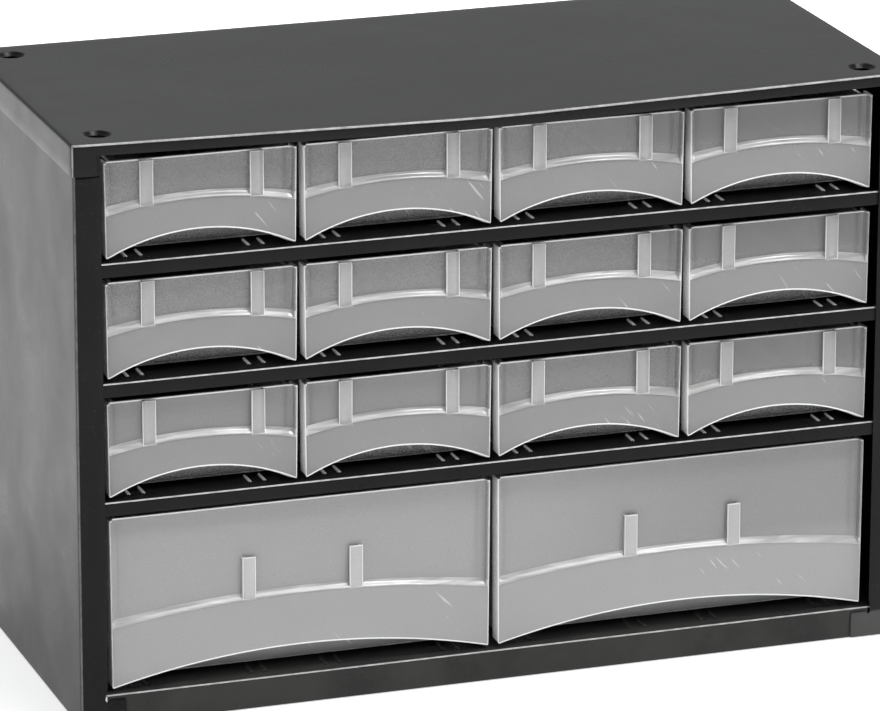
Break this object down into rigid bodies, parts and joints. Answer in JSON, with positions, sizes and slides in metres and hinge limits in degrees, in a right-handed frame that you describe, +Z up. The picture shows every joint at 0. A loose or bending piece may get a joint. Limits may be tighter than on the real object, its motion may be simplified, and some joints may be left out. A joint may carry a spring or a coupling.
{
  "type": "parts bin cabinet",
  "caption": "Small steel cabinet with rows of translucent plastic drawers, arched finger pulls and label holders, for storing screws and other small parts.",
  "frame": {"origin": "middle of the footprint, at the height of the surface the cabinet stands on", "axes": "+Z up, the drawers pull out towards -Y, +X to the right as seen from the front"},
  "size_m": [0.306, 0.136, 0.21],
  "materials": {
    "case_paint": "semi-gloss",
    "small_drawer_plastic": "frosted translucent",
    "large_drawer_plastic": "frosted translucent"
  },
  "bodies": {
    "case": {"lid": "case_paint", "side_panel_left": "case_paint", "side_panel_right": "case_paint", "base_pan": "case_paint", "shelf_upper": "case_paint", "shelf_middle": "case_paint", "shelf_lower": "case_paint", "back_panel": "case_paint"},
    "small_drawer_a1": {"small_drawer_a1": "small_drawer_plastic"},
    "small_drawer_a2": {"small_drawer_a2": "small_drawer_plastic"},
    "small_drawer_a3": {"small_drawer_a3": "small_drawer_plastic"},
    "small_drawer_a4": {"small_drawer_a4": "small_drawer_plastic"},
    "small_drawer_b1": {"small_drawer_b1": "small_drawer_plastic"},
    "small_drawer_b2": {"small_drawer_b2": "small_drawer_plastic"},
    "small_drawer_b3": {"small_drawer_b3": "small_drawer_plastic"},
    "small_drawer_b4": {"small_drawer_b4": "small_drawer_plastic"},
    "small_drawer_c1": {"small_drawer_c1": "small_drawer_plastic"},
    "small_drawer_c2": {"small_drawer_c2": "small_drawer_plastic"},
    "small_drawer_c3": {"small_drawer_c3": "small_drawer_plastic"},
    "small_drawer_c4": {"small_drawer_c4": "small_drawer_plastic"},
    "large_drawer_left": {"large_drawer_left": "large_drawer_plastic"},
    "large_drawer_right": {"large_drawer_right": "large_drawer_plastic"}
  },
  "joints": [
    {"name": "small_drawer_a1_slide", "type": "slide", "parent": "case", "child": "small_drawer_a1", "axis": [0, -1, 0], "range_m": [0, 0.11]},
    {"name": "small_drawer_a2_slide", "type": "slide", "parent": "case", "child": "small_drawer_a2", "axis": [0, -1, 0], "range_m": [0, 0.11]},
    {"name": "small_drawer_a3_slide", "type": "slide", "parent": "case", "child": "small_drawer_a3", "axis": [0, -1, 0], "range_m": [0, 0.11]},
    {"name": "small_drawer_a4_slide", "type": "slide", "parent": "case", "child": "small_drawer_a4", "axis": [0, -1, 0], "range_m": [0, 0.11]},
    {"name": "small_drawer_b1_slide", "type": "slide", "parent": "case", "child": "small_drawer_b1", "axis": [0, -1, 0], "range_m": [0, 0.11]},
    {"name": "small_drawer_b2_slide", "type": "slide", "parent": "case", "child": "small_drawer_b2", "axis": [0, -1, 0], "range_m": [0, 0.11]},
    {"name": "small_drawer_b3_slide", "type": "slide", "parent": "case", "child": "small_drawer_b3", "axis": [0, -1, 0], "range_m": [0, 0.11]},
    {"name": "small_drawer_b4_slide", "type": "slide", "parent": "case", "child": "small_drawer_b4", "axis": [0, -1, 0], "range_m": [0, 0.11]},
    {"name": "small_drawer_c1_slide", "type": "slide", "parent": "case", "child": "small_drawer_c1", "axis": [0, -1, 0], "range_m": [0, 0.11]},
    {"name": "small_drawer_c2_slide", "type": "slide", "parent": "case", "child": "small_drawer_c2", "axis": [0, -1, 0], "range_m": [0, 0.11]},
    {"name": "small_drawer_c3_slide", "type": "slide", "parent": "case", "child": "small_drawer_c3", "axis": [0, -1, 0], "range_m": [0, 0.11]},
    {"name": "small_drawer_c4_slide", "type": "slide", "parent": "case", "child": "small_drawer_c4", "axis": [0, -1, 0], "range_m": [0, 0.11]},
    {"name": "large_drawer_left_slide", "type": "slide", "parent": "case", "child": "large_drawer_left", "axis": [0, -1, 0], "range_m": [0, 0.11]},
    {"name": "large_drawer_right_slide", "type": "slide", "parent": "case", "child": "large_drawer_right", "axis": [0, -1, 0], "range_m": [0, 0.11]}
  ]
}
